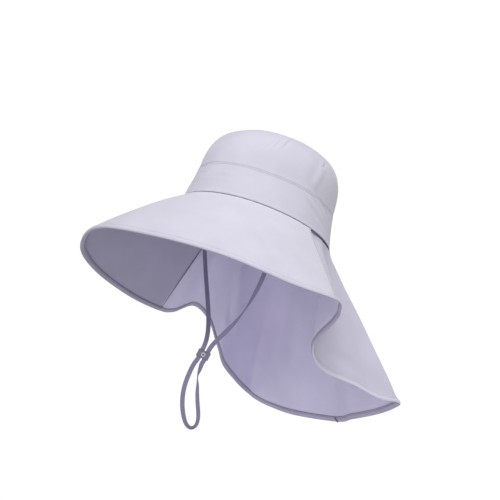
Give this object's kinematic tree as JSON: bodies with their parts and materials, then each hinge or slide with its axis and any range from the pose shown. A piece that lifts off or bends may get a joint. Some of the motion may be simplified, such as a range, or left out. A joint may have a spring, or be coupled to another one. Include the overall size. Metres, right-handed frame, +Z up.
{
  "type": "flap sun hat",
  "caption": "Soft sun hat with a round sewn crown, a wide drooping brim, a long neck flap and a flat chin strap with a slider.",
  "frame": {"origin": "middle of the head opening, where the crown meets the brim and the flap", "axes": "+Z up as worn, front of the hat towards -Y, the wearer's left towards +X; the crown leans back, its top towards +Y"},
  "size_m": [0.3655, 0.3555, 0.3646],
  "materials": {
    "cloth": "smooth lilac-grey woven sun cloth",
    "strap": "flat woven tape, darker lilac",
    "slider": "moulded grey-violet plastic"
  },
  "bodies": {
    "root": {"crown_tip": "cloth", "crown_wall": "cloth", "crown_band": "cloth", "brim": "cloth", "brim_hem": "cloth", "neck_flap": "cloth", "flap_hem": "cloth", "chin_strap": "strap", "strap_slider": "slider"}
  },
  "joints": []
}
